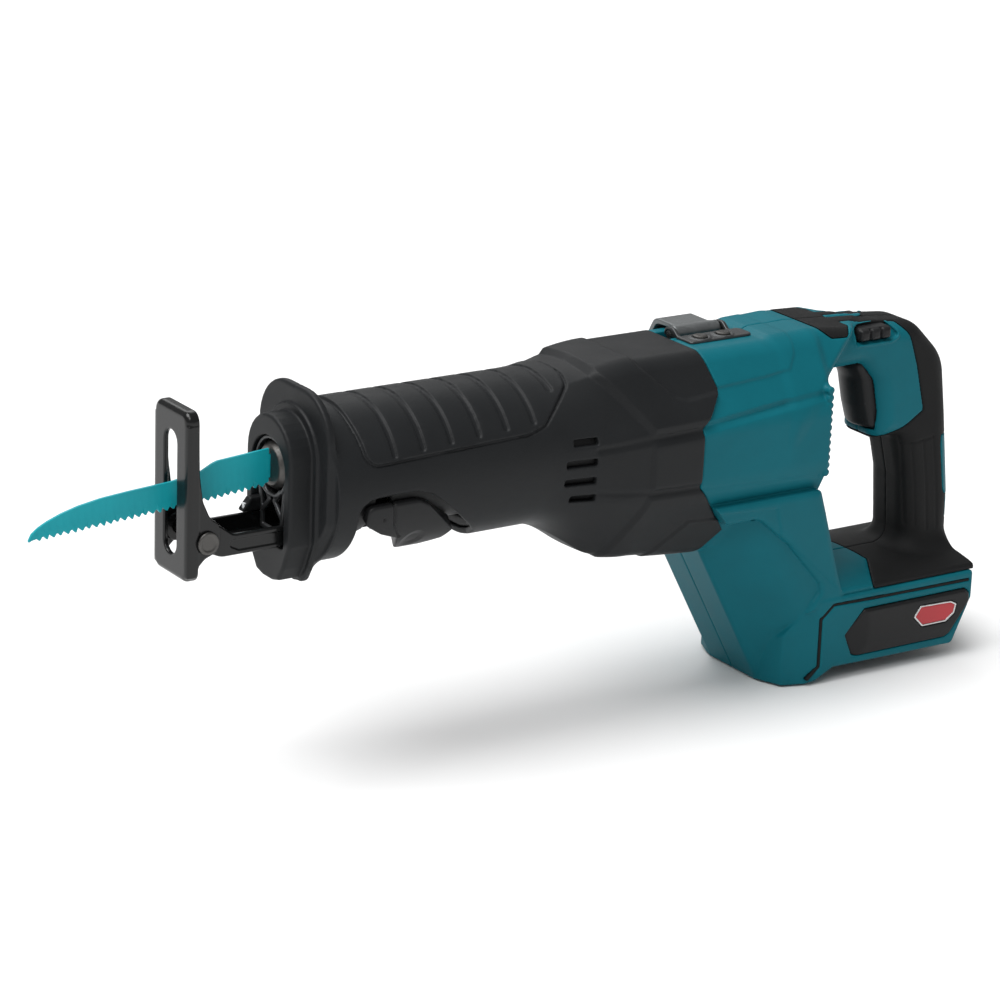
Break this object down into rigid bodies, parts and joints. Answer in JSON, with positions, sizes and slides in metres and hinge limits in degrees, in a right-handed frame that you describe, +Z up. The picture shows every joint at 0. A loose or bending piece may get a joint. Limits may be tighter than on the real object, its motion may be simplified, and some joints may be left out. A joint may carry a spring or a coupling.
{
  "type": "reciprocating saw",
  "caption": "Cordless D-handle reciprocating saw with rubber front boot, tilting shoe, painted pruning blade and an empty battery bay under the handle.",
  "frame": {"origin": "middle of the bounding box's bottom face, under the mid-plane of the tool", "axes": "+X from the blade to the rear of the handle, +Y to the operator's right, +Z up with the stroke level; y = 0 is the mid-plane where the two housing halves meet"},
  "size_m": [0.5119, 0.084, 0.182],
  "materials": {
    "teal_plastic": "moulded, satin",
    "rubber": "moulded, matt",
    "gloss_black": "gloss enamel",
    "black_plastic": "moulded, satin",
    "cast_metal": "die cast",
    "bright_steel": "bright",
    "dark_steel": "blackened",
    "blade_paint": "painted steel",
    "copper": "enamelled copper wire",
    "bronze": "sintered bronze",
    "clear_lens": "clear",
    "badge_red": "gloss"
  },
  "bodies": {
    "housing": {"badge_left": "badge_red", "badge_right": "badge_red", "battery_mount": "black_plastic", "battery_terminals": "black_plastic", "crank_axle": "bright_steel", "dust_seal": "rubber", "front_boot": "rubber", "gear_case": "cast_metal", "gear_case_cover": "cast_metal", "grip_left": "rubber", "grip_right": "rubber", "guide_plate": "bronze", "hook_bracket": "bright_steel", "hook_pin": "bright_steel", "hook_screw_1": "bright_steel", "hook_screw_2": "bright_steel", "housing_left": "teal_plastic", "housing_right": "teal_plastic", "housing_screw_1": "dark_steel", "housing_screw_2": "dark_steel", "housing_screw_3": "dark_steel", "housing_screw_4": "dark_steel", "housing_screw_5": "dark_steel", "housing_screw_6": "dark_steel", "lamp_housing": "rubber", "lamp_lens": "clear_lens", "motor_bearing_front": "bright_steel", "motor_bearing_rear": "bright_steel", "motor_controller": "cast_metal", "motor_stator": "copper", "plunger_bush": "bronze", "side_panel_left": "black_plastic", "side_panel_right": "black_plastic", "trigger_spring": "bright_steel", "trigger_switch": "black_plastic"},
    "crank": {"crank_gear": "dark_steel", "crank_bearing": "bright_steel", "crank_pin": "bright_steel", "crank_roller": "dark_steel", "balance_pin": "bright_steel"},
    "plunger": {"plunger": "bright_steel", "plunger_yoke": "dark_steel", "clamp_sleeve": "dark_steel", "clamp_pin": "bright_steel", "blade": "blade_paint"},
    "counterweight": {"counterweight": "cast_metal"},
    "rotor": {"motor_shaft": "bright_steel", "rotor_core": "dark_steel", "motor_pinion": "dark_steel", "cooling_fan": "black_plastic"},
    "clamp_lever": {"clamp_lever": "black_plastic", "clamp_cam_ring": "dark_steel"},
    "shoe_bracket": {"shoe_bracket": "gloss_black"},
    "shoe": {"shoe": "gloss_black", "shoe_pivot_pin": "dark_steel"},
    "shoe_release": {"shoe_release_button": "black_plastic"},
    "trigger": {"trigger": "black_plastic"},
    "trigger_lock": {"trigger_lock_button": "black_plastic"},
    "hook": {"hanging_hook": "dark_steel"}
  },
  "joints": [
    {"name": "crank_turn", "type": "hinge", "parent": "housing", "child": "crank", "pos_m": [-0.0385, 0, 0.135], "axis": [0, 0, 1], "range_deg": [-90, 90]},
    {"name": "plunger_stroke", "type": "slide", "parent": "housing", "child": "plunger", "axis": [1, 0, 0], "range_m": [-0.016, 0.016]},
    {"name": "counterweight_slide", "type": "slide", "parent": "housing", "child": "counterweight", "axis": [1, 0, 0], "range_m": [-0.0125, 0.0125]},
    {"name": "rotor_spin", "type": "hinge", "parent": "housing", "child": "rotor", "pos_m": [0.053, 0, 0.127], "axis": [1, 0, 0], "range_deg": [-465, 465]},
    {"name": "clamp_lever_turn", "type": "hinge", "parent": "housing", "child": "clamp_lever", "pos_m": [-0.097, 0, 0.146], "axis": [1, 0, 0], "range_deg": [0, 32]},
    {"name": "shoe_slide", "type": "slide", "parent": "housing", "child": "shoe_bracket", "axis": [-1, 0, 0], "range_m": [0, 0.03]},
    {"name": "shoe_tilt", "type": "hinge", "parent": "shoe_bracket", "child": "shoe", "pos_m": [-0.1767, 0, 0.1207], "axis": [0, 1, 0], "range_deg": [-20, 25]},
    {"name": "shoe_release_press", "type": "slide", "parent": "housing", "child": "shoe_release", "axis": [0, -1, 0], "range_m": [0, 0.0015], "stiffness_N_per_m": 800},
    {"name": "trigger_pull", "type": "slide", "parent": "housing", "child": "trigger", "axis": [1, 0, 0], "range_m": [0, 0.006], "stiffness_N_per_m": 700, "deforming": ["trigger_spring"]},
    {"name": "trigger_lock_press", "type": "slide", "parent": "housing", "child": "trigger_lock", "axis": [0, 1, 0], "range_m": [-0.0025, 0.0025]},
    {"name": "hook_fold", "type": "hinge", "parent": "housing", "child": "hook", "pos_m": [0.1026, 0.0075, 0.1762], "axis": [1, 0, 0], "range_deg": [0, 110]}
  ],
  "couplings": [
    {"joint": "plunger_stroke", "follows": "crank_turn", "m_per_rad": 0.010186},
    {"joint": "counterweight_slide", "follows": "crank_turn", "m_per_rad": -0.0079577},
    {"joint": "rotor_spin", "follows": "crank_turn", "ratio": -5.125}
  ]
}
